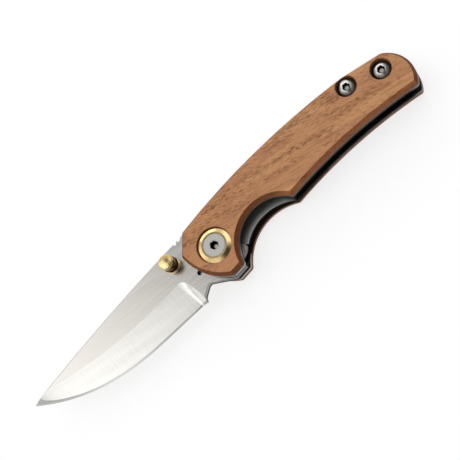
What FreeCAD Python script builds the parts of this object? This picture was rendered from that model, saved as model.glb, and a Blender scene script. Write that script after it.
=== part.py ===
import FreeCAD, Part
import math
import os

# A liner-lock folding knife, open. X runs from the blade's point to the handle's butt, Y up to the spine,
# Z out of the front scale. The pieces are drawn about the pivot axis, from the rear scale's outer face up,
# and moved at the end so that the origin lies under the middle of the open knife.
# All sizes are millimetres and degrees.

V = FreeCAD.Vector
UP = V(0, 0, 1)

# Plates, stacked along Z
SCALE_THICKNESS = 3.0
LINER_THICKNESS = 1.3
WASHER_THICKNESS = 0.6
BLADE_THICKNESS = 3.0

# Handle outline, measured from the pivot axis; a bow is how far a side stands out from its chord,
# and the front half's groove is deeper, so that a thumb reaches the lock bar
HANDLE_REACH = 89.4
NOSE_TOP = (-6.7, 11.8)
NOSE_LOW = (-11.7, 4.8)
CHEEK_BOW = 2.6
CHIN_FRONT = (-0.9, -12.35)
CHIN_REAR = (4.3, -11.55)
FRONT_GROOVE_DEPTH = 9.5
REAR_GROOVE_DEPTH = 5.85
GROOVE_END = (31.0, -4.1)
BELLY_BOW = -2.1
BUTT_LOW_INSET = 2.8
BUTT_LOW_HEIGHT = -2.6
BUTT_TOP_INSET = 5.6
BUTT_TOP_HEIGHT = 14.5
BUTT_BOW = 4.1
SPINE_BREAK_INSET = 20.4
SPINE_BREAK_HEIGHT = 17.0
SPINE_BOW = 2.72
CHAMFER_INSET = 1.0
CHAMFER_DEPTH = 1.5
CHAMFER_CORNER = 0.2

# Clearances
FIT = 0.05
SEAT = 0.04
SWEEP_CLEARANCE = 0.2
FLUSH_DROP = 0.1

# Pivot
BARREL_RADIUS = 3.0
PIVOT_HEAD_RADIUS = 4.15
PIVOT_HEAD_THICKNESS = 1.3
PIVOT_HEX = 2.9
PIVOT_BARREL_HEX_DEPTH = 2.2
PIVOT_SCREW_HEX_DEPTH = 1.0
PIVOT_HEAD_BREAK = 0.2
HEX_LEAD_IN = 0.1
PIVOT_SCREW_RADIUS = 1.5
PIVOT_SCREW_REACH = 5.0
COLLAR_RADIUS = 6.35
COLLAR_RIM_DROP = 0.65
COLLAR_LAND = 0.5
WASHER_RADIUS = 6.0

# Body screws, measured from the butt and the pivot axis
SPINE_SCREW_INSET = 21.2
SPINE_SCREW_HEIGHT = 12.9
BUTT_SCREW_INSET = 8.8
BUTT_SCREW_HEIGHT = 9.4
SCREW_RADIUS = 1.5
SCREW_HEAD_RADIUS = 3.5
SCREW_HEAD_RIM = 0.5
COUNTERBORE_RADIUS = 3.8
COUNTERBORE_DEPTH = 2.0
SCREW_HEX = 2.5
SCREW_HEX_DEPTH = 1.4
SCREW_MOUTH_DROP = 0.2
STANDOFF_RADIUS = 2.2

# Blade outline; the closed blade's point lies a little inside the butt
POINT_INSET = 2.2
SPINE_HEIGHT = 13.0
BLADE_SPINE_BOW = 1.05
BLADE_SPINE_CHAMFER = 0.45
EDGE_LOW_REACH = 41.0
EDGE_DROP = 13.25
EDGE_CURL = 2.28
HEEL = (-14.5, -12.0)
HEEL_CURL = 1.25
HEEL_TOP = (-14.05, -10.15)
CHOIL_FRONT = (-11.15, -7.96)
CHOIL_REAR = (-9.4, -7.86)
CHOIL_BOW = -0.26
KICK = (-1.5, -12.4)
KICK_RADIUS = 12.1
TANG_LOBE_RADIUS = 9.8
TANG_RADIUS = 7.0
DETENT_HOLE = (-10.5, -2.35)
DETENT_HOLE_RADIUS = 0.78
JIMPING_COUNT = 2
JIMPING_PITCH = 1.9
JIMPING_RADIUS = 0.75
JIMPING_SINK = 0.25
JIMPING_REACH = 11.85

# Blade grind: a hollow bevel on each side down to a sharpened edge
GRIND_LOW_REACH = 44.0
GRIND_LOW_DROP = 2.0
GRIND_TOP_DROP = 0.35
GRIND_WHEEL_RADIUS = 100.0
PLUNGE_REACH = 16.4
PLUNGE_RUN = 3.2
PLUNGE_LIP = 0.06
PLUNGE_SLANT = 13.5
EDGE_SHOULDER = 0.25
EDGE_LAND = 0.03
EDGE_ANGLE = 20.0
EDGE_STEPS = 8
BEVEL_STEPS = 9
PLUNGE_STEPS = 5
SECTION_PASSES = 20
GRIND_OVERRUN = 0.15

# Stop pin and lock
STOP_PIN_RADIUS = 1.19
STOP_ANGLE = 115.0
CLOSING_TURN = 180.0
LOCK_ANGLE = -35.0
LOCK_LEAN = 20.0
LOCK_SEAT_START = 1.4
LOCK_SEAT_END = 3.7
LOCK_ENGAGEMENT = 0.8
BAR_END_REACH = 7.4
BAR_CHAMFER_SLOPE = 32.0
BAR_TOP_FRONT = 4.1
BAR_TOP_ROOT = 4.6
BAR_ROOT_REACH = 46.0
BAR_INSET = 1.2
BAR_SLOT = 0.8
BAR_WINDOW_REACH = 6.2
BAR_WINDOW_LEAN = 4.0
BAR_BEAD_RADIUS = 0.45
BALL_RADIUS = 1.0
BALL_DROP = 0.05

# Thumb studs
STUD_AT = (-17.0, 6.7)
STUD_FLANGE_RADIUS = 2.9
STUD_FLANGE_HEIGHT = 0.9
STUD_WAIST_RADIUS = 2.1
STUD_RING_RADIUS = 2.45
STUD_RING_HEIGHT = 0.7
STUD_HEAD_RADIUS = 2.7
STUD_HEAD_HEIGHT = 1.1
STUD_CROWN = 0.3
STUD_EDGE_BREAK = 0.35
FRONT_STUD_HEIGHT = 5.9
REAR_STUD_HEIGHT = 4.7
STUD_SHANK_RADIUS = 1.5
STUD_SHANK_GRIP = 2.5

# Backspacer
SPACER_LEAD = 10.2
SPACER_OVERRUN = 2.0
SPACER_STEPS = 6
SPACER_TAIL_HEIGHT = 1.5
SPACER_CLEARANCE = 0.6

# Levels along Z
rear_liner_z = SCALE_THICKNESS
gap_z = rear_liner_z + LINER_THICKNESS
blade_z = gap_z + WASHER_THICKNESS
blade_top_z = blade_z + BLADE_THICKNESS
front_liner_z = blade_top_z + WASHER_THICKNESS
front_scale_z = front_liner_z + LINER_THICKNESS
top_z = front_scale_z + SCALE_THICKNESS
mid_z = top_z / 2
gap = front_liner_z - gap_z
blade_reach = HANDLE_REACH - POINT_INSET

screw_places = {
    "spine": (HANDLE_REACH - SPINE_SCREW_INSET, SPINE_SCREW_HEIGHT),
    "butt": (HANDLE_REACH - BUTT_SCREW_INSET, BUTT_SCREW_HEIGHT),
}


def polar(radius, angle):
    """A point at a radius and an angle about the pivot axis."""
    turn = math.radians(angle)
    return (radius * math.cos(turn), radius * math.sin(turn))


def bowed(start, end, bow):
    """The middle of an arc that stands out by bow on the right of the way from start to end."""
    chord = V(*end) - V(*start)
    out = V(chord.y, -chord.x, 0).normalize() * bow
    middle = (V(*start) + V(*end)) * 0.5 + out
    return (middle.x, middle.y)


def run(start, end, via=None):
    """A straight edge between two points, or an arc by way of a third."""
    if via is None:
        return Part.LineSegment(V(*start), V(*end)).toShape()
    return Part.Arc(V(*start), V(*via), V(*end)).toShape()


def plate(edges, z, thickness):
    """A flat plate with the given closed outline."""
    face = Part.Face(Part.Wire(edges))
    face.translate(V(0, 0, z))
    return face.extrude(V(0, 0, thickness))


def polygon(points, z, thickness):
    """A flat plate with straight sides."""
    ends = points[1:] + points[:1]
    return plate([run(start, end) for start, end in zip(points, ends)], z, thickness)


def disc(radius, z, thickness, at=(0, 0)):
    """A round plate, pin or hole along Z."""
    return Part.makeCylinder(radius, thickness, V(at[0], at[1], z))


def turned(profile, at=(0, 0)):
    """A turned piece: a profile of (radius, height) points spun about Z."""
    points = [V(radius, 0, height) for radius, height in profile]
    face = Part.Face(Part.makePolygon(points + points[:1]))
    solid = face.revolve(V(0, 0, 0), UP, 360)
    solid.translate(V(at[0], at[1], 0))
    return solid


def dome(radius, foot, height, at):
    """The low domed top of a head."""
    ball = (radius ** 2 + height ** 2) / 2 / height
    centre = V(at[0], at[1], foot + height - ball)
    return Part.makeSphere(ball, centre).common(disc(radius, foot, height, at))


def hex_socket(across_flats, top, depth, at=(0, 0)):
    """The space of a hexagonal key socket that opens upwards, with a coned mouth."""
    inner = across_flats / 2
    radius = inner / math.cos(math.radians(30))
    corners = [polar(radius, 60 * index) for index in range(6)]
    mouth = radius + HEX_LEAD_IN - inner
    socket = polygon(corners, top - depth, depth + mouth)
    socket = socket.fuse(Part.makeCone(inner, inner + 2 * mouth, 2 * mouth, V(0, 0, top - mouth)))
    socket.translate(V(at[0], at[1], 0))
    return socket


def to_rear(shape):
    """The same piece on the rear side."""
    return shape.mirror(V(0, 0, mid_z), UP)


def rounded(solid, radius, corners):
    """Round the upright edges of a plate at the given corners."""
    edges = []
    for edge in solid.Edges:
        if edge.BoundBox.ZLength < 0.5 * solid.BoundBox.ZLength:
            continue
        foot = edge.Vertexes[0].Point
        if any(math.hypot(foot.x - x, foot.y - y) < radius / 10 for x, y in corners):
            edges.append(edge)
    return solid.makeFillet(radius, edges)


# Handle outline, shared by the scales, the liners, the lock bar and the backspacer
butt_low = (HANDLE_REACH - BUTT_LOW_INSET, BUTT_LOW_HEIGHT)
butt_top = (HANDLE_REACH - BUTT_TOP_INSET, BUTT_TOP_HEIGHT)
spine_break = (HANDLE_REACH - SPINE_BREAK_INSET, SPINE_BREAK_HEIGHT)
handle_corners = [NOSE_TOP, NOSE_LOW, CHIN_FRONT, CHIN_REAR, GROOVE_END, butt_low, butt_top]


def handle_plate(z, thickness, groove_depth):
    """A plate with the handle's outline, a finger groove and rounded corners."""
    sides = [
        run(NOSE_TOP, NOSE_LOW),
        run(NOSE_LOW, CHIN_FRONT, bowed(NOSE_LOW, CHIN_FRONT, CHEEK_BOW)),
        run(CHIN_FRONT, CHIN_REAR),
        run(CHIN_REAR, GROOVE_END, bowed(CHIN_REAR, GROOVE_END, -groove_depth)),
        run(GROOVE_END, butt_low, bowed(GROOVE_END, butt_low, BELLY_BOW)),
        run(butt_low, butt_top, bowed(butt_low, butt_top, BUTT_BOW)),
        run(butt_top, spine_break),
        run(spine_break, NOSE_TOP, bowed(spine_break, NOSE_TOP, SPINE_BOW)),
    ]
    return rounded(plate(sides, z, thickness), CHAMFER_INSET + CHAMFER_CORNER, handle_corners)


def top_edges(solid, z):
    """The outer edges of a plate's upper face."""
    for face in solid.Faces:
        if face.BoundBox.ZLength < FIT and abs(face.CenterOfMass.z - z) < FIT:
            return face.OuterWire.Edges


def make_scale(groove_depth):
    """A front scale: wood, chamfered all round, bored for the collar and counterbored for two screws."""
    scale = handle_plate(front_scale_z, SCALE_THICKNESS, groove_depth)
    scale = scale.makeChamfer(CHAMFER_DEPTH, CHAMFER_INSET, top_edges(scale, top_z))
    scale = scale.cut(disc(COLLAR_RADIUS + FIT, front_scale_z, SCALE_THICKNESS))
    for place in screw_places.values():
        scale = scale.cut(disc(SCREW_RADIUS + FIT, front_scale_z, SCALE_THICKNESS, place))
        scale = scale.cut(disc(COUNTERBORE_RADIUS, top_z - COUNTERBORE_DEPTH, COUNTERBORE_DEPTH, place))
    return scale


# Where the stop pin stands, and the angles of the two tang faces that meet it
stop_radius = TANG_LOBE_RADIUS + SWEEP_CLEARANCE + STOP_PIN_RADIUS
stop_at = polar(stop_radius, STOP_ANGLE)
stop_half_angle = math.degrees(math.asin((STOP_PIN_RADIUS + SEAT) / stop_radius))
open_stop_angle = STOP_ANGLE + stop_half_angle
closed_stop_angle = STOP_ANGLE - CLOSING_TURN - stop_half_angle


def make_liner(z, groove_depth):
    """Liner: steel plate under a scale, drilled for the pivot, the stop pin and the body screws."""
    liner = handle_plate(z, LINER_THICKNESS, groove_depth)
    liner = liner.cut(disc(BARREL_RADIUS + FIT, z, LINER_THICKNESS))
    liner = liner.cut(disc(STOP_PIN_RADIUS + FIT, z, LINER_THICKNESS, stop_at))
    for place in screw_places.values():
        liner = liner.cut(disc(SCREW_RADIUS + FIT, z, LINER_THICKNESS, place))
    return liner


# Lock: a sloping face on the tang, and the end of the bar that seats against it
lock_corner = polar(TANG_LOBE_RADIUS, LOCK_ANGLE)
lock_way = V(-math.sin(math.radians(LOCK_LEAN)), math.cos(math.radians(LOCK_LEAN)), 0)
lock_out = V(lock_way.y, -lock_way.x, 0)


def on_lock_face(along, off=0.0):
    """A point on the tang's lock face, or a little behind it."""
    place = V(*lock_corner) + lock_way * along + lock_out * off
    return (place.x, place.y)


def lock_face_end():
    """Where the lock face runs into the round of the tang."""
    lead = V(*lock_corner).dot(lock_way)
    spread = lead * lead - TANG_LOBE_RADIUS ** 2 + TANG_RADIUS ** 2
    return on_lock_face(-lead - math.sqrt(spread))


bar_half = LINER_THICKNESS / 2
bend_z = rear_liner_z + bar_half
below_handle = -HANDLE_REACH / 2
engaged_rise = WASHER_THICKNESS + LOCK_ENGAGEMENT
engaged_angle = math.degrees(math.asin(engaged_rise / (BAR_ROOT_REACH - BAR_END_REACH)))
detent_turn = math.degrees(math.atan2(DETENT_HOLE[1], DETENT_HOLE[0])) + CLOSING_TURN
closed_detent = polar(math.hypot(*DETENT_HOLE), detent_turn)


def bend_bead(radius):
    """The round along the lock bar's bend line."""
    foot = V(BAR_ROOT_REACH, below_handle, bend_z)
    return Part.makeCylinder(radius, HANDLE_REACH, foot, V(0, 1, 0))


def engage(shape):
    """Swing a piece of the lock bar in about its bend, from flush to behind the tang."""
    shape.rotate(V(BAR_ROOT_REACH, 0, bend_z), V(0, 1, 0), engaged_angle)
    return shape


def make_rear_liner():
    """Rear liner, with the window that the lock bar springs in and a seat for the bar's bend."""
    window_top = BAR_TOP_FRONT + BAR_SLOT
    lean = math.tan(math.radians(BAR_WINDOW_LEAN)) * (window_top - below_handle)
    window = polygon([
        (BAR_ROOT_REACH, below_handle),
        (BAR_ROOT_REACH, BAR_TOP_ROOT + BAR_SLOT),
        (BAR_WINDOW_REACH, window_top),
        (BAR_WINDOW_REACH + lean, below_handle),
    ], rear_liner_z, LINER_THICKNESS)
    relief = disc(BAR_SLOT, rear_liner_z, LINER_THICKNESS, (BAR_ROOT_REACH, BAR_TOP_ROOT + BAR_SLOT / 2))
    seat = bend_bead(BAR_BEAD_RADIUS + SEAT)
    seat = seat.cut(polygon([
        (0, BAR_TOP_ROOT),
        (HANDLE_REACH, BAR_TOP_ROOT),
        (HANDLE_REACH, HANDLE_REACH),
        (0, HANDLE_REACH),
    ], rear_liner_z, LINER_THICKNESS))
    return make_liner(rear_liner_z, REAR_GROOVE_DEPTH).cut(window).cut(relief).cut(seat)


def make_lock_bar():
    """Lock bar: the sprung tongue of the rear liner, set back in its groove, seated behind the tang."""
    lip_top = on_lock_face(LOCK_SEAT_END, SEAT)
    lip_low = on_lock_face(LOCK_SEAT_START, SEAT)
    drop = lip_low[1] - below_handle
    chamfer_run = drop / math.tan(math.radians(BAR_CHAMFER_SLOPE))
    root = BAR_ROOT_REACH - FIT
    window = polygon([
        (root, below_handle),
        (root, BAR_TOP_ROOT),
        (BAR_END_REACH, BAR_TOP_FRONT),
        (BAR_END_REACH, lip_top[1]),
        lip_top,
        lip_low,
        (lip_low[0] + chamfer_run, below_handle),
    ], rear_liner_z, LINER_THICKNESS)
    blank = handle_plate(rear_liner_z, LINER_THICKNESS, REAR_GROOVE_DEPTH + BAR_INSET)
    bead = bend_bead(BAR_BEAD_RADIUS).common(blank)
    bead = bead.cut(polygon([
        (0, BAR_TOP_ROOT - SEAT),
        (HANDLE_REACH, BAR_TOP_ROOT - SEAT),
        (HANDLE_REACH, HANDLE_REACH),
        (0, HANDLE_REACH),
    ], rear_liner_z, LINER_THICKNESS))
    bar = blank.common(window).fuse(bead)
    bar = bar.cut(disc(BALL_RADIUS + SEAT, rear_liner_z, LINER_THICKNESS, closed_detent))
    return engage(bar.removeSplitter())


def make_detent_ball():
    """Detent ball, pressed into the bar where the blade's small hole lies when the knife is closed."""
    centre = V(closed_detent[0], closed_detent[1], gap_z - BALL_DROP)
    return engage(Part.makeSphere(BALL_RADIUS, centre))


def make_collar():
    """Front pivot collar: brass ring in the scale, coned down from the pivot head to its rim."""
    floor = top_z - FLUSH_DROP - PIVOT_HEAD_THICKNESS
    crown = top_z - FLUSH_DROP
    bore = BARREL_RADIUS + FIT
    head_bore = PIVOT_HEAD_RADIUS + FIT
    return turned([
        (bore, front_scale_z),
        (COLLAR_RADIUS, front_scale_z),
        (COLLAR_RADIUS, top_z - COLLAR_RIM_DROP),
        (head_bore + COLLAR_LAND, crown),
        (head_bore, crown),
        (head_bore, floor),
        (bore, floor),
    ])


def pivot_head(hex_depth):
    """The flat head in the front collar, with a broken edge, and its key socket."""
    crown = top_z - FLUSH_DROP
    floor = crown - PIVOT_HEAD_THICKNESS
    head = turned([
        (0, floor),
        (PIVOT_HEAD_RADIUS, floor),
        (PIVOT_HEAD_RADIUS, crown - PIVOT_HEAD_BREAK),
        (PIVOT_HEAD_RADIUS - PIVOT_HEAD_BREAK, crown),
        (0, crown),
    ])
    return head, hex_socket(PIVOT_HEX, crown, hex_depth)


def make_pivot_barrel():
    """Pivot barrel: the axle of the blade, with a flat socket head at the front and a thread at the rear."""
    foot = FLUSH_DROP + PIVOT_HEAD_THICKNESS + SWEEP_CLEARANCE
    floor = top_z - FLUSH_DROP - PIVOT_HEAD_THICKNESS
    head, socket = pivot_head(PIVOT_BARREL_HEX_DEPTH)
    barrel = disc(BARREL_RADIUS, foot, floor - foot).fuse(head)
    thread = disc(PIVOT_SCREW_RADIUS + FIT, foot, PIVOT_SCREW_REACH + SWEEP_CLEARANCE)
    return barrel.cut(socket).cut(thread).removeSplitter()


def make_pivot_screw():
    """Pivot screw: closes the barrel from the rear, with a head like the barrel's."""
    foot = FLUSH_DROP + PIVOT_HEAD_THICKNESS
    head, socket = pivot_head(PIVOT_SCREW_HEX_DEPTH)
    screw = disc(PIVOT_SCREW_RADIUS, foot, PIVOT_SCREW_REACH).fuse(to_rear(head))
    return screw.cut(to_rear(socket)).removeSplitter()


def make_washer(z):
    """Bronze washer between the tang and a liner."""
    return disc(WASHER_RADIUS, z, WASHER_THICKNESS).cut(disc(BARREL_RADIUS + FIT, z, WASHER_THICKNESS))


def make_body_screw(place):
    """Front body screw: a domed socket head in the scale's counterbore, threaded into a standoff."""
    crown = top_z - FLUSH_DROP
    floor = top_z - COUNTERBORE_DEPTH
    rim = floor + SCREW_HEAD_RIM
    tip = front_liner_z - gap / 2 + SWEEP_CLEARANCE
    screw = disc(SCREW_RADIUS, tip, floor - tip, place)
    screw = screw.fuse(disc(SCREW_HEAD_RADIUS, floor, SCREW_HEAD_RIM, place))
    screw = screw.fuse(dome(SCREW_HEAD_RADIUS, rim, crown - rim, place))
    socket = hex_socket(SCREW_HEX, crown - SCREW_MOUTH_DROP, SCREW_HEX_DEPTH, place)
    return screw.cut(socket).removeSplitter()


def make_standoff(place):
    """Standoff: a threaded barrel that holds the liners apart at a body screw."""
    return disc(STANDOFF_RADIUS, gap_z, gap, place).cut(disc(SCREW_RADIUS + FIT, gap_z, gap, place))


def edge_height(x):
    """Height of the cutting edge: a curl up to the point, and a gentle rise back to the heel."""
    if x < -EDGE_LOW_REACH:
        share = (-EDGE_LOW_REACH - x) / (blade_reach - EDGE_LOW_REACH)
        return -EDGE_DROP + EDGE_DROP * share ** EDGE_CURL
    share = (x + EDGE_LOW_REACH) / (HEEL[0] + EDGE_LOW_REACH)
    return -EDGE_DROP + (HEEL[1] + EDGE_DROP) * share ** HEEL_CURL


def grind_height(x):
    """Height of the line where the flat of the blade turns into the bevel."""
    rise = (GRIND_LOW_DROP - GRIND_TOP_DROP) / (GRIND_LOW_REACH - PLUNGE_REACH - PLUNGE_RUN) ** 2
    return -GRIND_LOW_DROP + rise * (x + GRIND_LOW_REACH) ** 2


def spline(points):
    """A smooth edge through points."""
    curve = Part.BSplineCurve()
    curve.interpolate(points)
    return curve.toShape()


def edge_curve():
    """The cutting edge, from the point to the heel, with its points closest together at the point."""
    reach = HEEL[0] + blade_reach
    stations = [-blade_reach + reach * (step / EDGE_STEPS) ** 2 for step in range(EDGE_STEPS + 1)]
    return spline([V(x, edge_height(x), 0) for x in stations])


def plunge_lift(station, depth):
    """How far the wheel has risen out of a grind of the given depth, along the hollow of the plunge."""
    share = max(station + PLUNGE_REACH + PLUNGE_RUN, 0) / PLUNGE_RUN
    return share ** 2 * (max(depth, 0) + PLUNGE_LIP)


def ground_section(station, top_of, rise_of):
    """One cut across the bevel, from above the blade's flat to below its edge, slanted like the plunge."""
    slant = -math.tan(math.radians(PLUNGE_SLANT))
    x_low = station
    x_high = station
    for _ in range(SECTION_PASSES):
        x_low = station + slant * edge_height(x_low)
        x_high = station + slant * top_of(x_high)
    low = V(x_low, edge_height(x_low), 0)
    high = V(x_high, top_of(x_high), 0)
    places = []
    for share in (-GRIND_OVERRUN, 0.5, 1 + GRIND_OVERRUN):
        place = high + (low - high) * share
        rise = rise_of(share, (low - high).Length)
        lift = plunge_lift(station, BLADE_THICKNESS / 2 - rise)
        places.append(V(place.x, place.y, mid_z + rise + lift))
    return Part.Wire([spline(places)])


def ground_side(top_of, rise_of):
    """What a wheel grinds off the front side: the long bevel, and its rounded end at the plunge."""
    full = -PLUNGE_REACH - PLUNGE_RUN
    beyond = -blade_reach - PLUNGE_RUN
    run_out = PLUNGE_RUN * (1 + GRIND_OVERRUN)
    along = [beyond + (full - beyond) * step / BEVEL_STEPS for step in range(BEVEL_STEPS + 1)]
    plunge = [full + run_out * step / PLUNGE_STEPS for step in range(PLUNGE_STEPS + 1)]
    cutters = []
    for stations in (along, plunge):
        sections = [ground_section(station, top_of, rise_of) for station in stations]
        lower = Part.makeLoft(sections, False, False).Faces[0]
        cutters.append(lower.extrude(V(0, 0, BLADE_THICKNESS)))
    return cutters


def bevel_rise(share, width):
    """Height of the hollow bevel above the blade's middle plane, from the grind line to the edge."""
    hollow = width ** 2 / 8 / GRIND_WHEEL_RADIUS
    straight = BLADE_THICKNESS / 2 + (EDGE_SHOULDER - BLADE_THICKNESS / 2) * share
    return straight - 4 * hollow * share * (1 - share)


def edge_bevel_top(x):
    """Height at which the sharpening bevel, carried on upwards, leaves the blade's flat."""
    return edge_height(x) + (BLADE_THICKNESS / 2 - EDGE_LAND) / math.tan(math.radians(EDGE_ANGLE))


def edge_bevel_rise(share, width):
    """Height of the flat sharpening bevel above the blade's middle plane."""
    return BLADE_THICKNESS / 2 + (EDGE_LAND - BLADE_THICKNESS / 2) * share


def make_blade():
    """Blade: ground from flat stock, with the tang's stop faces, lock face, kick and detent hole."""
    point = (-blade_reach, 0)
    shoulder_turn = math.radians(open_stop_angle)
    shoulder_top = (SPINE_HEIGHT / math.tan(shoulder_turn), SPINE_HEIGHT)
    shoulder_low = polar(TANG_RADIUS, open_stop_angle)
    kick_end = polar(KICK_RADIUS, closed_stop_angle)
    lobe_start = polar(TANG_LOBE_RADIUS, closed_stop_angle)
    lobe_middle = polar(TANG_LOBE_RADIUS, (closed_stop_angle + LOCK_ANGLE) / 2)
    lock_end = lock_face_end()
    tang_start = math.degrees(math.atan2(lock_end[1], lock_end[0]))
    tang_middle = polar(TANG_RADIUS, (tang_start + open_stop_angle) / 2)
    sides = [
        run(shoulder_top, point, bowed(shoulder_top, point, BLADE_SPINE_BOW)),
        edge_curve(),
        run(HEEL, HEEL_TOP),
        run(HEEL_TOP, CHOIL_FRONT),
        run(CHOIL_FRONT, CHOIL_REAR, bowed(CHOIL_FRONT, CHOIL_REAR, CHOIL_BOW)),
        run(CHOIL_REAR, KICK),
        run(KICK, kick_end),
        run(kick_end, lobe_start),
        run(lobe_start, lock_corner, lobe_middle),
        run(lock_corner, lock_end),
        run(lock_end, shoulder_low, tang_middle),
        run(shoulder_low, shoulder_top),
    ]
    blade = plate(sides, blade_z, BLADE_THICKNESS)
    spine_edges = []
    for edge in blade.Edges:
        ends = [vertex.Point for vertex in edge.Vertexes]
        at_shoulder = any(math.dist(end[:2], shoulder_top) < FIT for end in ends)
        if at_shoulder and any(math.dist(end[:2], point) < FIT for end in ends):
            spine_edges.append(edge)
    blade = blade.makeChamfer(BLADE_SPINE_CHAMFER, spine_edges)
    blade = blade.cut(disc(BARREL_RADIUS + FIT, blade_z, BLADE_THICKNESS))
    blade = blade.cut(disc(DETENT_HOLE_RADIUS, blade_z, BLADE_THICKNESS, DETENT_HOLE))
    blade = blade.cut(disc(STUD_SHANK_RADIUS + FIT, blade_z, BLADE_THICKNESS, STUD_AT))
    for index in range(JIMPING_COUNT):
        x = -JIMPING_REACH + index * JIMPING_PITCH
        share = (x + blade_reach) / (shoulder_top[0] + blade_reach)
        spine = SPINE_HEIGHT * share + 4 * BLADE_SPINE_BOW * share * (1 - share)
        notch = disc(JIMPING_RADIUS, blade_z, BLADE_THICKNESS, (x, spine - JIMPING_SINK))
        blade = blade.cut(notch)
    for cutter in ground_side(grind_height, bevel_rise) + ground_side(edge_bevel_top, edge_bevel_rise):
        blade = blade.cut(cutter).cut(to_rear(cutter))
    return blade


def stud_body(shank_profile, height):
    """A thumb stud on the front of the blade: flange, waist, grip ring, waist and domed head."""
    crown = height - STUD_CROWN
    head = crown - STUD_HEAD_HEIGHT
    top_radius = STUD_HEAD_RADIUS - STUD_EDGE_BREAK
    waist = (head - STUD_FLANGE_HEIGHT - STUD_RING_HEIGHT) / 2
    ring = STUD_FLANGE_HEIGHT + waist
    stud = turned(shank_profile + [
        (STUD_FLANGE_RADIUS, 0),
        (STUD_FLANGE_RADIUS, STUD_FLANGE_HEIGHT),
        (STUD_WAIST_RADIUS, STUD_FLANGE_HEIGHT),
        (STUD_WAIST_RADIUS, ring),
        (STUD_RING_RADIUS, ring),
        (STUD_RING_RADIUS, ring + STUD_RING_HEIGHT),
        (STUD_WAIST_RADIUS, ring + STUD_RING_HEIGHT),
        (STUD_WAIST_RADIUS, head),
        (STUD_HEAD_RADIUS, head),
        (STUD_HEAD_RADIUS, crown - STUD_EDGE_BREAK),
        (top_radius, crown),
        (0, crown),
    ], STUD_AT)
    stud = stud.fuse(dome(top_radius, crown, STUD_CROWN, STUD_AT)).removeSplitter()
    stud.translate(V(0, 0, blade_top_z))
    return stud


def make_front_stud():
    """Front thumb stud, with the threaded shank that holds the pair together through the blade."""
    shank = -BLADE_THICKNESS - STUD_SHANK_GRIP
    return stud_body([(0, shank), (STUD_SHANK_RADIUS, shank), (STUD_SHANK_RADIUS, 0)], FRONT_STUD_HEIGHT)


def make_rear_stud():
    """Rear thumb stud, tapped for the front one's shank, and shorter, so that the knife lies flat."""
    depth = STUD_SHANK_GRIP + SWEEP_CLEARANCE
    bore = STUD_SHANK_RADIUS + FIT
    return to_rear(stud_body([(0, depth), (bore, depth), (bore, 0)], REAR_STUD_HEIGHT))


def make_backspacer():
    """Backspacer: fills the slot behind the closed blade's edge, along the spine and round the butt."""
    front = screw_places["spine"][0] - SPACER_LEAD
    blank = handle_plate(gap_z, gap, REAR_GROOVE_DEPTH)
    blank = blank.common(polygon([
        (front, SPACER_TAIL_HEIGHT),
        (2 * HANDLE_REACH, SPACER_TAIL_HEIGHT),
        (2 * HANDLE_REACH, HANDLE_REACH),
        (front, HANDLE_REACH),
    ], gap_z, gap))
    first = front - SPACER_OVERRUN
    stations = [first + (blade_reach - first) * step / SPACER_STEPS for step in range(SPACER_STEPS + 1)]
    inner = [V(x, SPACER_CLEARANCE - edge_height(-x), 0) for x in stations]
    below = [V(blade_reach, below_handle, 0), V(first, below_handle, 0)]
    swept = plate([
        spline(inner),
        Part.LineSegment(inner[-1], below[0]).toShape(),
        Part.LineSegment(below[0], below[1]).toShape(),
        Part.LineSegment(below[1], inner[0]).toShape(),
    ], gap_z, gap)
    spacer = blank.cut(swept)
    for place in screw_places.values():
        spacer = spacer.cut(disc(STANDOFF_RADIUS + FIT, gap_z, gap, place))
    return spacer


front_collar = make_collar()
pieces = {
    "front_scale": make_scale(FRONT_GROOVE_DEPTH),
    "rear_scale": to_rear(make_scale(REAR_GROOVE_DEPTH)),
    "front_liner": make_liner(front_liner_z, FRONT_GROOVE_DEPTH),
    "rear_liner": make_rear_liner(),
    "lock_bar": make_lock_bar(),
    "detent_ball": make_detent_ball(),
    "front_pivot_collar": front_collar,
    "rear_pivot_collar": to_rear(front_collar),
    "pivot_barrel": make_pivot_barrel(),
    "pivot_screw": make_pivot_screw(),
    "front_washer": make_washer(blade_top_z),
    "rear_washer": make_washer(gap_z),
    "stop_pin": disc(STOP_PIN_RADIUS, rear_liner_z, gap + 2 * LINER_THICKNESS, stop_at),
    "backspacer": make_backspacer(),
    "blade": make_blade(),
    "front_thumb_stud": make_front_stud(),
    "rear_thumb_stud": make_rear_stud(),
}
for name, place in screw_places.items():
    front_screw = make_body_screw(place)
    pieces["front_screw_" + name] = front_screw
    pieces["rear_screw_" + name] = to_rear(front_screw)
    pieces["standoff_" + name] = make_standoff(place)

# The open knife spans from the blade's point to the butt, and from the edge's lowest point to the spine
handle_box = pieces["front_liner"].optimalBoundingBox()
middle = V((handle_box.XMax - blade_reach) / 2, (handle_box.YMax - EDGE_DROP) / 2, 0)

os.makedirs("parts", exist_ok=True)
for name, shape in pieces.items():
    shape.translate(-middle)
    print(name, len(shape.Solids), round(shape.Volume, 3), shape.isValid())
    shape.Solids[0].exportStep("parts/" + name + ".step")
print("pivot axis at", round(-middle.x, 4), round(-middle.y, 4))
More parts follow.
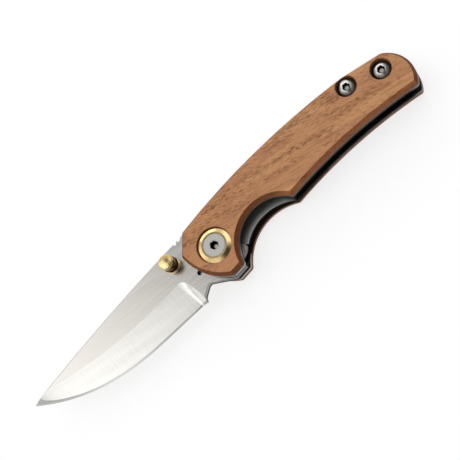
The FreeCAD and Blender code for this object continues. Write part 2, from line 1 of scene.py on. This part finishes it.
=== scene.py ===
import bmesh
import bpy
import math
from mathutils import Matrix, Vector


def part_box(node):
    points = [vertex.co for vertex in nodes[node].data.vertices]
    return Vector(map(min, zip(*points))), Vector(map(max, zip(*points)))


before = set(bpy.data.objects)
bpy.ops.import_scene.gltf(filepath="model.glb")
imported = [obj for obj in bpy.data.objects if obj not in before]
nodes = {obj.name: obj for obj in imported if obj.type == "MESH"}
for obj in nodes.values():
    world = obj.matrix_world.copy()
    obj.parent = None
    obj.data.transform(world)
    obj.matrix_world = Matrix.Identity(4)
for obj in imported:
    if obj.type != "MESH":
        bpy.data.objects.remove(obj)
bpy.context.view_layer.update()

# Scales: two flat slabs of open-pored brown hardwood, sawn with the grain nearly along the handle.
# A cutter chamfers them and bores them for the collar and the screws. Painted shade darkens their slopes
# and walls, most in the finger groove and where they face the butt, and painted light lifts the rear
# scale's slopes.
# The rims of the holes and the inner faces are painted dark as painted shade. The faces are then sanded
# and oiled.
wood_pink = (0.60, 0.28, 0.138, 1)
wood_face = (0.66, 0.322, 0.146, 1)
wood_gold = (0.72, 0.383, 0.180, 1)
wood_streak = (0.27, 0.105, 0.040, 1)
wood_pore = (0.21, 0.07, 0.028, 1)
fibre_shade = (0.72, 0.66, 0.62, 1)
collar_rim_shade = (0.34, 0.14, 0.06, 1)
counterbore_rim_shade = (0.36, 0.17, 0.10, 1)
inner_face_shade = (0.012, 0.006, 0.004, 1)
slope_shade = (0.86, 0.66, 0.53, 1)
groove_slope_shade = (0.48, 0.35, 0.26, 1)
butt_facing_shade = (0.40, 0.25, 0.165, 1)
rear_slope_light = (0.90, 0.72, 0.58, 1)
grain_turn = -9.5
figure_size = (40, 5, 5)
streak_size = (11, 0.6, 0.6)
cluster_size = (16, 3.2, 3.2)
pore_size = (1.9, 0.22, 0.22)
fibre_size = (5, 0.09, 0.09)
streak_cut = (0.52, 0.72)
streak_share = 0.5
pore_cut = (0.54, 0.62)
cluster_shift = (-0.12, 0.06)
side_shift = (-0.04, 0.065)
pore_dark_share = 0.75
fibre_share = 0.35
rim_shade_depth = 0.85
edge_side_to_spine = (-6, 12)
groove_to_belly = (24, 34)
front_to_rear = (1, -1)
facing_butt = (0.1, 0.5)
face_level = 6.4
joint_level = 3.4
collar_rim = 6.4
counterbore_rim = 3.8
noise_low = 0.3
noise_high = 0.7


def new_finish(name):
    """A material with its node tree, and its surface shader."""
    material = bpy.data.materials.new(name)
    material.use_nodes = True
    return material, material.node_tree.nodes["Principled BSDF"]


def add_node(owner, kind, inputs=None, **settings):
    """Add a node to a material or the world, with its sockets set to values or linked."""
    node = owner.node_tree.nodes.new(kind)
    for key, value in settings.items():
        setattr(node, key, value)
    for key, value in (inputs or {}).items():
        if isinstance(value, bpy.types.NodeSocket):
            owner.node_tree.links.new(value, node.inputs[key])
        else:
            node.inputs[key].default_value = value
    return node


def feed(material, shader, **sockets):
    """Link sockets to the surface shader by name, with _ for a space."""
    for key, source in sockets.items():
        material.node_tree.links.new(source, shader.inputs[key.replace("_", " ")])


def dress(material, *names):
    """Give CAD nodes a finish."""
    for name in names:
        nodes[name].data.materials[0] = material


def space(material, size, turn=0.0, centre=(0, 0, 0)):
    """Object coordinates about a centre, turned in the knife's plane and counted in sizes in mm."""
    place = add_node(material, "ShaderNodeTexCoord")
    mapping = add_node(material, "ShaderNodeMapping", {
        "Vector": place.outputs["Object"],
        "Location": centre,
        "Rotation": (0, 0, math.radians(turn)),
        "Scale": [length / 1000 for length in size],
    }, vector_type="TEXTURE")
    return mapping.outputs["Vector"]


def noise(material, vector, detail=3.0, roughness=0.5, distortion=0.0):
    """Noise over a vector, one blot to a unit."""
    texture = add_node(material, "ShaderNodeTexNoise", {
        "Vector": vector,
        "Scale": 1.0,
        "Detail": detail,
        "Roughness": roughness,
        "Distortion": distortion,
    })
    return texture.outputs["Fac"]


def ranged(owner, value, low, high, to_low=0.0, to_high=1.0, way="LINEAR"):
    """Map a value from one range to another, held at the ends."""
    node = add_node(owner, "ShaderNodeMapRange", {
        "Value": value,
        "From Min": low,
        "From Max": high,
        "To Min": to_low,
        "To Max": to_high,
    }, interpolation_type=way)
    return node.outputs["Result"]


def spread(material, texture, to_low, to_high):
    """Map the usual spread of a noise to a range."""
    return ranged(material, texture, noise_low, noise_high, to_low, to_high)


def combined(owner, operation, *values):
    """Work a running sum, product or extreme over values."""
    total = values[0]
    for value in values[1:]:
        node = add_node(owner, "ShaderNodeMath", {0: total, 1: value}, operation=operation)
        total = node.outputs[0]
    return total


def shades(material, value, stops):
    """A colour ramp over a value, from (place, colour) stops."""
    ramp = add_node(material, "ShaderNodeValToRGB", {"Fac": value})
    elements = ramp.color_ramp.elements
    while len(elements) < len(stops):
        elements.new(1.0)
    for element, (place, colour) in zip(elements, stops):
        element.position = place
        element.color = colour
    return ramp.outputs["Color"]


def mixed(material, share, first, second, blend="MIX"):
    """Mix two colours by a share."""
    colours = {0: share, 6: first, 7: second}
    mix = add_node(material, "ShaderNodeMix", colours, data_type="RGBA", blend_type=blend)
    return mix.outputs[2]


def bumped(material, height, strength, depth):
    """A bump from a height, with its depth in mm."""
    node = add_node(material, "ShaderNodeBump", {
        "Height": height,
        "Strength": strength,
        "Distance": depth / 1000,
    })
    return node.outputs["Normal"]


def middle_of(name):
    """The middle of a node's box."""
    low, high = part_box(name)
    return (Vector(low) + Vector(high)) / 2


def place_along(material, axis):
    """Place in mm along an axis of the frame, with Z counted from the knife's middle plane."""
    place = space(material, (1, 1, 1), 0, (0, 0, middle_of("blade").z))
    return add_node(material, "ShaderNodeSeparateXYZ", {0: place}).outputs[axis]


def absolute(material, value):
    """A value without its sign."""
    return add_node(material, "ShaderNodeMath", {0: value}, operation="ABSOLUTE").outputs[0]


def from_middle_plane(material):
    """Distance in mm from the knife's middle plane, on either side."""
    return absolute(material, place_along(material, "Z"))


def from_upright(material, point):
    """Distance in mm from the upright line through a point."""
    height_ignored = 1e9
    across = space(material, (1, 1, height_ignored), 0, point)
    return add_node(material, "ShaderNodeVectorMath", {0: across}, operation="LENGTH").outputs["Value"]


def from_axis(material, name):
    """Distance in mm from the upright axis of a round piece."""
    return from_upright(material, middle_of(name))


def facing(material, axis):
    """How far a surface faces along an axis, from -1 to 1."""
    normal = add_node(material, "ShaderNodeNewGeometry").outputs["Normal"]
    return add_node(material, "ShaderNodeSeparateXYZ", {0: normal}).outputs[axis]


wood, wood_shader = new_finish("oiled_wood")
figure = noise(wood, space(wood, figure_size, grain_turn), distortion=0.7)
wood_colour = shades(wood, figure, [(0.34, wood_pink), (0.5, wood_face), (0.66, wood_gold)])
streak = noise(wood, space(wood, streak_size, grain_turn), detail=4, roughness=0.6)
wood_colour = mixed(wood, ranged(wood, streak, *streak_cut, 0, streak_share), wood_colour, wood_streak)
cluster = noise(wood, space(wood, cluster_size, grain_turn), detail=2)
pores = noise(wood, space(wood, pore_size, grain_turn), detail=2)
pores = combined(wood, "ADD", pores,
                 ranged(wood, cluster, 0.35, 0.65, *cluster_shift),
                 ranged(wood, place_along(wood, "Y"), *edge_side_to_spine, *side_shift))
pore_share = ranged(wood, pores, *pore_cut)
pore_dark = combined(wood, "MULTIPLY", pore_share, pore_dark_share)
wood_colour = mixed(wood, pore_dark, wood_colour, wood_pore)
fibre = noise(wood, space(wood, fibre_size, grain_turn), roughness=0.6)
wood_colour = mixed(wood, spread(wood, fibre, 0, fibre_share), wood_colour, fibre_shade, "MULTIPLY")
# Painted shade darkens the slopes and walls, most in the finger groove and on slopes facing the butt;
# painted light lifts the rear scale's slopes.
behind_groove = ranged(wood, place_along(wood, "X"), *groove_to_belly)
slope_colour = mixed(wood, behind_groove, groove_slope_shade, slope_shade)
butt_share = ranged(wood, facing(wood, "X"), *facing_butt)
slope_colour = mixed(wood, butt_share, slope_colour, butt_facing_shade)
rear_share = ranged(wood, place_along(wood, "Z"), *front_to_rear)
slope_colour = mixed(wood, rear_share, slope_colour, rear_slope_light)
level = from_middle_plane(wood)
slope_share = ranged(wood, level, face_level - 0.02, face_level - 0.12)
wood_colour = mixed(wood, slope_share, wood_colour, slope_colour, "MULTIPLY")
# Painted shade: the scales' inner faces and the foot of their walls, under the liners and the lock bar,
# are painted near black.
inner_shade_share = ranged(wood, level, joint_level + 0.3, joint_level + 0.05)
wood_colour = mixed(wood, inner_shade_share, wood_colour, inner_face_shade)
# Painted shade: a dark ring round the rim of the collar's bore and each counterbore, and down their
# walls.
for name, rim, rim_shade_colour in (
    ("front_pivot_collar", collar_rim, collar_rim_shade),
    ("front_screw_spine", counterbore_rim, counterbore_rim_shade),
    ("front_screw_butt", counterbore_rim, counterbore_rim_shade),
):
    rim_shade_share = ranged(wood, from_axis(wood, name), rim + 0.2, rim + 0.05, 0, rim_shade_depth)
    wood_colour = mixed(wood, rim_shade_share, wood_colour, rim_shade_colour)
feed(wood, wood_shader, Base_Color=wood_colour, Roughness=spread(wood, streak, 0.46, 0.62),
     Normal=bumped(wood, pore_share, strength=0.4, depth=-0.06))
wood_shader.inputs["Specular IOR Level"].default_value = 0.2
dress(wood, "front_scale", "rear_scale")

# Liners: two spring-steel plates blanked from sheet and belt-finished along the handle. Their walls are
# painted near black as painted shade, with a painted highlight along the corner next to the wood and on
# the walls at the chin and the butt. Their inner faces are plain grey.
shaded_steel_dark = (0.026, 0.0255, 0.0245, 1)
shaded_steel_light = (0.045, 0.044, 0.042, 1)
face_grey = (0.30, 0.30, 0.29, 1)
corner_highlight = (0.26, 0.25, 0.23, 1)
chin_wall_highlight = (0.42, 0.42, 0.41, 1)
belt_size = (16, 0.14, 0.14)
belt_turn = 2
inner_level = 2.1
corner_level = 3.2
handle_to_chin = (6.5, 4.0)
middle_to_chin = (-3.0, -7.0)
handle_to_butt = (82.0, 85.5)
grazing_dim = 0.5


def bare_metal(name, grazing=1.0):
    """A metal finish, with the share of its light that it keeps at a grazing view."""
    material, shader = new_finish(name)
    shader.inputs["Metallic"].default_value = 1.0
    shader.inputs["Specular Tint"].default_value = (grazing, grazing, grazing, 1)
    return material, shader


def two_tone(material, texture, dark, light):
    """Shade the usual spread of a noise from a dark colour to a light one."""
    return shades(material, texture, [(noise_low, dark), (noise_high, light)])


def wall_of(material):
    """1 on the upright walls of a flat piece and 0 on its faces."""
    return ranged(material, absolute(material, facing(material, "Z")), 0.45, 0.25)


liner_steel, liner_shader = bare_metal("belt_finished_liner_steel", grazing_dim)
belt = noise(liner_steel, space(liner_steel, belt_size, belt_turn))
# Painted shade: the steel is painted near black, which darkens the walls; the inner faces get plain grey
# below.
liner_colour = two_tone(liner_steel, belt, shaded_steel_dark, shaded_steel_light)
level = from_middle_plane(liner_steel)
face_share = ranged(liner_steel, level, inner_level + 0.03, inner_level + 0.01)
liner_colour = mixed(liner_steel, face_share, liner_colour, face_grey)
# Painted highlight: a light line along the liner's corner next to the wood.
corner_highlight_share = ranged(liner_steel, level, corner_level - 0.15, corner_level + 0.05)
liner_colour = mixed(liner_steel, corner_highlight_share, liner_colour, corner_highlight)
liner_wall = wall_of(liner_steel)
along_liner = place_along(liner_steel, "X")
# Painted highlight: the liner walls at the chin are lightened.
chin_highlight_share = combined(liner_steel, "MULTIPLY", liner_wall,
                       ranged(liner_steel, along_liner, *handle_to_chin),
                       ranged(liner_steel, place_along(liner_steel, "Y"), *middle_to_chin))
liner_colour = mixed(liner_steel, chin_highlight_share, liner_colour, chin_wall_highlight)
# Painted highlight: the liner walls at the butt are lightened to grey.
butt_share = combined(liner_steel, "MULTIPLY", liner_wall,
                      ranged(liner_steel, along_liner, *handle_to_butt))
liner_colour = mixed(liner_steel, butt_share, liner_colour, face_grey)
feed(liner_steel, liner_shader, Base_Color=liner_colour,
     Roughness=spread(liner_steel, belt, 0.14, 0.22),
     Normal=bumped(liner_steel, belt, strength=0.1, depth=0.004))
dress(liner_steel, "front_liner", "rear_liner")

# Lock bar: the rear liner's own tongue, of the same steel, cut free and bent in behind the tang.
# Its face is satin, with painted light along the finger groove and painted shade on its walls and near
# the slot.
bar_dark = (0.19, 0.19, 0.18, 1)
bar_light = (0.26, 0.26, 0.25, 1)
bar_painted_light = (0.80, 0.80, 0.78, 1)
satin_size = (9, 0.12, 0.12)
groove_centre = (0.0202, -0.0231, 0)
bar_to_groove = (23.0, 19.5)
groove_to_slot = (26.5, 30)
bar_steel, bar_shader = bare_metal("satin_bar_steel", grazing_dim)
satin = noise(bar_steel, space(bar_steel, satin_size, belt_turn))
bar_colour = two_tone(bar_steel, satin, bar_dark, bar_light)
# Painted light: the bar's face grows lighter towards its outer edge along the finger groove.
bar_light_share = ranged(bar_steel, from_upright(bar_steel, groove_centre), *bar_to_groove)
bar_colour = mixed(bar_steel, bar_light_share, bar_colour, bar_painted_light)
# Painted shade: the bar's walls and its end towards the slot are painted dark.
bar_shade_share = combined(bar_steel, "MAXIMUM", wall_of(bar_steel),
                        ranged(bar_steel, place_along(bar_steel, "X"), *groove_to_slot))
bar_colour = mixed(bar_steel, bar_shade_share, bar_colour, shaded_steel_dark)
feed(bar_steel, bar_shader, Base_Color=bar_colour,
     Roughness=spread(bar_steel, satin, 0.42, 0.52),
     Normal=bumped(bar_steel, satin, strength=0.1, depth=0.004))
dress(bar_steel, "lock_bar")

# Detent ball: a hardened bearing ball, polished and a little scuffed, with its colour painted dark as
# painted shade. It is pressed into the lock bar and drops into the tang's small hole when the knife is
# closed.
ball_bright = (0.36, 0.36, 0.35, 1)
scuff_size = (0.4, 0.4, 0.4)
ball_steel, ball_shader = bare_metal("polished_ball_steel")
scuff = noise(ball_steel, space(ball_steel, scuff_size))
# Painted shade: the ball's colour is darkened so that it stays dull in the lock bar's shade.
feed(ball_steel, ball_shader, Base_Color=two_tone(ball_steel, scuff, shaded_steel_light, ball_bright),
     Roughness=spread(ball_steel, scuff, 0.08, 0.18))
dress(ball_steel, "detent_ball")

# Backspacer: a bar of black moulded plastic between the liners, along the spine and round the butt.
# The standoffs pass through it, and its end at the butt is painted grey as painted light.
spacer_black = (0.012, 0.012, 0.013, 1)
spacer_grey = (0.03, 0.03, 0.031, 1)
spacer_end_light = (0.14, 0.135, 0.13, 1)
mould_size = (0.25, 0.25, 0.25)
spacer, spacer_shader = new_finish("black_spacer")
mould = noise(spacer, space(spacer, mould_size), detail=4)
spacer_colour = shades(spacer, mould, [(0.35, spacer_black), (0.65, spacer_grey)])
# Painted light: the spacer's end at the butt is lightened to grey.
butt_share = ranged(spacer, place_along(spacer, "X"), *handle_to_butt)
spacer_colour = mixed(spacer, butt_share, spacer_colour, spacer_end_light)
feed(spacer, spacer_shader, Base_Color=spacer_colour,
     Roughness=spread(spacer, mould, 0.4, 0.6),
     Normal=bumped(spacer, mould, strength=0.2, depth=0.02))
dress(spacer, "backspacer")

# Blade: ground from flat stainless bar. The flats are brushed along the blade, and the wheel leaves long
# soft bands and fine cross marks in the hollow bevels. The walls are left as cut; painted shade darkens
# them towards the tang and along the rear corner, and blackens the detent hole.
flat_dark = (0.545, 0.525, 0.488, 1)
flat_light = (0.63, 0.61, 0.572, 1)
bevel_dark = (0.575, 0.56, 0.53, 1)
bevel_light = (0.735, 0.72, 0.69, 1)
honed_bright = (0.76, 0.76, 0.75, 1)
wall_dark = (0.38, 0.37, 0.345, 1)
wall_light = (0.46, 0.45, 0.42, 1)
tang_wall_shade = (0.10, 0.10, 0.095, 1)
painted_shade_black = (0.02, 0.018, 0.015, 1)
brush_size = (20, 0.5, 0.5)
brush_turn = -2
wheel_size = (0.7, 8, 8)
wheel_turn = 4
band_size = (34, 2.8, 2.8)
band_turn = -6
band_share = 0.6
tang_share = 0.6
blade_to_tang = (-12, -4)
middle_to_rear = (-0.4, -0.8)
flat_level = 1.5
honed_level = 0.25
hole_radius = 0.78
hole_from_pivot = Vector((-0.0105, -0.00235, 0))


def blended(material, share, first, second):
    """Mix two values by a share."""
    return add_node(material, "ShaderNodeMix", {0: share, 2: first, 3: second}).outputs[0]


blade_steel, blade_shader = bare_metal("brushed_blade_steel", grazing_dim)
brushed = noise(blade_steel, space(blade_steel, brush_size, brush_turn), detail=5, roughness=0.65)
wheel = noise(blade_steel, space(blade_steel, wheel_size, wheel_turn), detail=5, roughness=0.65)
band = noise(blade_steel, space(blade_steel, band_size, band_turn))
wheel = blended(blade_steel, band_share, wheel, band)
level = from_middle_plane(blade_steel)
ground = ranged(blade_steel, level, flat_level - 0.01, flat_level - 0.05)
marks = blended(blade_steel, ground, brushed, wheel)
flat_colour = two_tone(blade_steel, brushed, flat_dark, flat_light)
bevel_colour = two_tone(blade_steel, wheel, bevel_dark, bevel_light)
blade_colour = mixed(blade_steel, ground, flat_colour, bevel_colour)
honed = ranged(blade_steel, level, honed_level + 0.02, honed_level - 0.02)
blade_colour = mixed(blade_steel, honed, blade_colour, honed_bright)
wall_colour = two_tone(blade_steel, wheel, wall_dark, wall_light)
# Painted shade: the walls darken towards the tang.
tang = ranged(blade_steel, place_along(blade_steel, "X"), *blade_to_tang, 0, tang_share)
wall_colour = mixed(blade_steel, tang, wall_colour, tang_wall_shade)
# Painted shade: the walls along the rear corner are painted black.
rear_corner = ranged(blade_steel, place_along(blade_steel, "Z"), *middle_to_rear)
wall_colour = mixed(blade_steel, rear_corner, wall_colour, painted_shade_black)
blade_colour = mixed(blade_steel, wall_of(blade_steel), blade_colour, wall_colour)
# Painted shade: the detent hole's wall is painted black.
hole_reach = from_upright(blade_steel, middle_of("pivot_barrel") + hole_from_pivot)
hole_shade_share = ranged(blade_steel, hole_reach, hole_radius + 0.25, hole_radius + 0.12)
blade_colour = mixed(blade_steel, hole_shade_share, blade_colour, painted_shade_black)
feed(blade_steel, blade_shader, Base_Color=blade_colour,
     Roughness=spread(blade_steel, marks, 0.18, 0.26),
     Normal=bumped(blade_steel, marks, strength=0.12, depth=0.004))
dress(blade_steel, "blade")

# Washers, collars and studs: brass turned on a lathe, with the tool's fine rings round each axis. It is
# a little browned where fingers do not polish it, and painted shade darkens the studs' necks under their
# heads.
brass_brown = (0.60, 0.42, 0.18, 1)
brass_yellow = (0.76, 0.57, 0.28, 1)
neck_shade = (0.24, 0.145, 0.045, 1)
rings_per_mm = 7.0
tarnish_size = (1.6, 1.6, 1.6)
front_neck = (2.3, 6.0)
rear_neck = (2.3, 4.8)


# Painted shade: the neck under each stud's head is painted dark.
def turned_brass(name, pieces, neck=None):
    """Brass with lathe rings round the axis of the first piece, and painted shade between a neck's two
    levels.
    """
    material, shader = bare_metal(name)
    rings = add_node(material, "ShaderNodeTexNoise", {
        "W": from_axis(material, pieces[0]),
        "Scale": rings_per_mm,
        "Detail": 3.0,
    }, noise_dimensions="1D").outputs["Fac"]
    tarnish = noise(material, space(material, tarnish_size), detail=4)
    tone = combined(material, "MULTIPLY", ranged(material, rings, 0.2, 0.8, 0.75, 1.25), tarnish)
    colour = shades(material, tone, [(0.3, brass_brown), (0.55, brass_yellow)])
    if neck:
        low, high = neck
        level = from_middle_plane(material)
        neck_share = combined(material, "MULTIPLY", ranged(material, level, low, low + 0.08),
                              ranged(material, level, high, high - 0.08))
        colour = mixed(material, neck_share, colour, neck_shade)
    feed(material, shader, Base_Color=colour, Roughness=spread(material, tone, 0.22, 0.13),
         Normal=bumped(material, rings, strength=0.15, depth=0.006))
    dress(material, *pieces)


pivot_brass = ("front_pivot_collar", "rear_pivot_collar", "front_washer", "rear_washer")
turned_brass("turned_pivot_brass", pivot_brass)
turned_brass("turned_front_stud_brass", ("front_thumb_stud",), front_neck)
turned_brass("turned_rear_stud_brass", ("rear_thumb_stud",), rear_neck)

# Pivot, stop pin and standoffs: turned steel. The pivot's flat heads are bead-blasted to an even grey,
# and a hex key fits the socket that is drilled and broached in each, with a coned mouth. Each socket has
# a painted highlight on its mouth, painted shade on its walls and painted light on its drilled floor.
blasted_dark = (0.44, 0.43, 0.405, 1)
blasted_light = (0.56, 0.55, 0.52, 1)
blasted_mouth_highlight = (0.80, 0.79, 0.76, 1)
socket_wall_shade = (0.012, 0.011, 0.010, 1)
socket_floor_light = (0.62, 0.57, 0.48, 1)
grit_size = (0.09, 0.09, 0.09)
head_level = 6.3
pivot_key_corner = 1.67
drill_edge_to_core = (0.95, 0.5)


# Painted highlight on the coned mouth, painted shade on the walls, painted light on the drilled floor.
def key_socket(material, colour, name, corner, mouth, mouth_highlight):
    """Paint a key socket: a painted highlight on its coned mouth, painted shade on its walls, painted
    light on its drilled middle.
    """
    from_centre = from_axis(material, name)
    level = from_middle_plane(material)
    inside = ranged(material, from_centre, corner + 0.2, corner + 0.1)
    cone = combined(material, "MULTIPLY", inside, ranged(material, level, mouth, mouth - 0.02))
    colour = mixed(material, cone, colour, mouth_highlight)
    sunk = ranged(material, level, mouth - 0.4, mouth - 0.5)
    walls = combined(material, "MAXIMUM", sunk, wall_of(material))
    colour = mixed(material, combined(material, "MULTIPLY", inside, walls), colour, socket_wall_shade)
    drilled = combined(material, "MULTIPLY", ranged(material, from_centre, *drill_edge_to_core), sunk)
    return mixed(material, drilled, colour, socket_floor_light)


blasted, blasted_shader = bare_metal("blasted_steel")
grit = noise(blasted, space(blasted, grit_size))
blasted_colour = shades(blasted, grit, [(0.35, blasted_dark), (0.65, blasted_light)])
blasted_colour = key_socket(blasted, blasted_colour, "pivot_barrel", pivot_key_corner,
                            head_level, blasted_mouth_highlight)
feed(blasted, blasted_shader, Base_Color=blasted_colour, Roughness=spread(blasted, grit, 0.38, 0.5),
     Normal=bumped(blasted, grit, strength=0.15, depth=0.01))
dress(blasted, "pivot_barrel", "pivot_screw", "stop_pin", "standoff_spine", "standoff_butt")

# Body screws: domed socket screws in stainless, with painted shade towards their rims, painted light at
# the crown, and painted light and shade in their sockets.
screw_rim_shade = (0.13, 0.11, 0.095, 1)
screw_grey = (0.21, 0.20, 0.185, 1)
screw_crown_light = (0.44, 0.43, 0.41, 1)
screw_mouth_highlight = (0.85, 0.84, 0.82, 1)
grime_size = (0.7, 0.7, 0.7)
rim_to_crown = (3.2, 1.5)
crown_level = 6.1
screw_key_corner = 1.44
# Painted shade at the rim of each dome, grading to painted light at its crown.
for name in ("front_screw_spine", "front_screw_butt", "rear_screw_spine", "rear_screw_butt"):
    screw_steel, screw_shader = bare_metal("domed_" + name)
    grime = noise(screw_steel, space(screw_steel, grime_size), detail=4)
    crown_light_share = ranged(screw_steel, from_axis(screw_steel, name), *rim_to_crown)
    tone = combined(screw_steel, "MULTIPLY", ranged(screw_steel, grime, 0.2, 0.8, 0.85, 1.1), crown_light_share)
    screw_colour = shades(screw_steel, tone, [(0, screw_rim_shade), (0.4, screw_grey), (0.85, screw_crown_light)])
    screw_colour = key_socket(screw_steel, screw_colour, name, screw_key_corner,
                              crown_level, screw_mouth_highlight)
    feed(screw_steel, screw_shader, Base_Color=screw_colour,
         Roughness=spread(screw_steel, grime, 0.2, 0.3))
    dress(screw_steel, name)

# Floor: a broad round sheet of pale card that curves up at its rim, lit from below as on a light table,
# so that it shows as white with the knife's soft shadow on it.
card_grey = (0.30, 0.30, 0.30, 1)
card_pale = (0.34, 0.34, 0.34, 1)
card_glow = 0.76
card_fibre_size = (3, 3, 3)
card_reach = 1.5
cove_radius = 0.5
card = bmesh.new()
card_middle = card.verts.new((0, 0, 0))
cove_foot = card.verts.new((card_reach, 0, 0))
card.edges.new((card_middle, cove_foot))
bmesh.ops.spin(card, geom=[cove_foot], cent=(card_reach, 0, cove_radius), axis=(0, 1, 0),
               angle=-math.pi / 2, steps=10)
bmesh.ops.spin(card, geom=card.verts[:] + card.edges[:], cent=(0, 0, 0), axis=(0, 0, 1),
               angle=2 * math.pi, steps=96, use_merge=True)
bmesh.ops.remove_doubles(card, verts=card.verts, dist=0.0001)
bmesh.ops.recalc_face_normals(card, faces=card.faces)
card_mesh = bpy.data.meshes.new("floor")
card.to_mesh(card_mesh)
card.free()
floor = bpy.data.objects.new("floor", card_mesh)
bpy.context.scene.collection.objects.link(floor)
paper, paper_shader = new_finish("pale_card")
card_fibre = noise(paper, space(paper, card_fibre_size))
ray = add_node(paper, "ShaderNodeLightPath").outputs
seen = combined(paper, "MAXIMUM", ray["Is Camera Ray"], ray["Is Glossy Ray"], ray["Is Transmission Ray"])
feed(paper, paper_shader, Base_Color=shades(paper, card_fibre, [(0, card_grey), (1, card_pale)]),
     Emission_Strength=combined(paper, "MULTIPLY", seen, card_glow))
paper_shader.inputs["Emission Color"].default_value = (1, 1, 1, 1)
paper_shader.inputs["Roughness"].default_value = 0.9
floor.data.materials.append(paper)

# Light: a white tent, and a softbox behind the knife. The tent is brightest over the blade and weaker
# over the handle, with the dark gap that the camera looks through. Each of its patches has a direction,
# the angles in degrees where it starts to fade and ends, and what it adds to the tent's strength.
tent_dim = 0.31
tent_bright = 0.66
tent_least = 0.05
tent_most = 2.0
tent_patches = (
    ((-0.36, 0.12, 0.925), 6, 20, 0.72),
    ((-0.44, 0.08, 0.894), 4, 12, 0.25),
    ((-0.42, 0.40, 0.81), 6, 18, 0.9),
    ((-0.80, 0.38, 0.46), 12, 28, 0.7),
    ((0.40, 0.36, 0.84), 8, 21, 0.9),
    ((0.1, 0.85, 0.52), 15, 34, 0.15),
    ((-0.08, 0.42, 0.904), 6, 15, -0.4),
    ((0.06, -0.19, 0.98), 13, 22, -0.62),
    ((0.85, -0.05, 0.5), 15, 40, -0.35),
    ((-0.30, -0.34, 0.89), 7, 17, 0.42),
)
world = bpy.data.worlds.new("tent")
bpy.context.scene.world = world
world.use_nodes = True
way = add_node(world, "ShaderNodeTexCoord").outputs["Generated"]
way_back = add_node(world, "ShaderNodeSeparateXYZ", {0: way}).outputs["Y"]
tent = ranged(world, way_back, -0.8, -0.1, tent_dim, tent_bright, "SMOOTHSTEP")
for direction, fade_start, fade_end, change in tent_patches:
    nearness = add_node(world, "ShaderNodeVectorMath", {0: way, 1: Vector(direction).normalized()},
                        operation="DOT_PRODUCT").outputs["Value"]
    limits = [math.cos(math.radians(angle)) for angle in (fade_end, fade_start)]
    tent = combined(world, "ADD", tent, ranged(world, nearness, *limits, 0.0, change, "SMOOTHSTEP"))
tent = ranged(world, tent, tent_least, tent_most, tent_least, tent_most)
tent_cloth = world.node_tree.nodes["Background"]
tent_cloth.inputs["Color"].default_value = (1, 1, 1, 1)
world.node_tree.links.new(tent, tent_cloth.inputs["Strength"])

softbox = bpy.data.objects.new("softbox", bpy.data.lights.new("softbox", "AREA"))
softbox.data.shape = "RECTANGLE"
softbox.data.size = 1.4
softbox.data.size_y = 0.7
softbox.data.energy = 4.5
softbox.location = (0.12, 1.12, 0.42)
softbox.rotation_euler = softbox.location.to_track_quat("Z", "Y").to_euler()
bpy.context.scene.collection.objects.link(softbox)

# Camera: above the front scale and a little on the cutting-edge side, as the photograph was taken.
# Its focal length is counted in pixels of the photograph's frame.
photo_width = 460
focal_length = 1110
camera = bpy.data.objects.new("camera", bpy.data.cameras.new("camera"))
camera.data.sensor_width = 36
camera.data.lens = camera.data.sensor_width * focal_length / photo_width
camera.data.clip_start = 0.01
camera.location = (0.0563481, -0.1517245, 0.3533960)
camera.rotation_euler = [math.radians(turn) for turn in (14.06053, 20.72678, -36.27599)]
bpy.context.scene.collection.objects.link(camera)
bpy.context.scene.camera = camera
bpy.context.scene.view_settings.view_transform = "Standard"
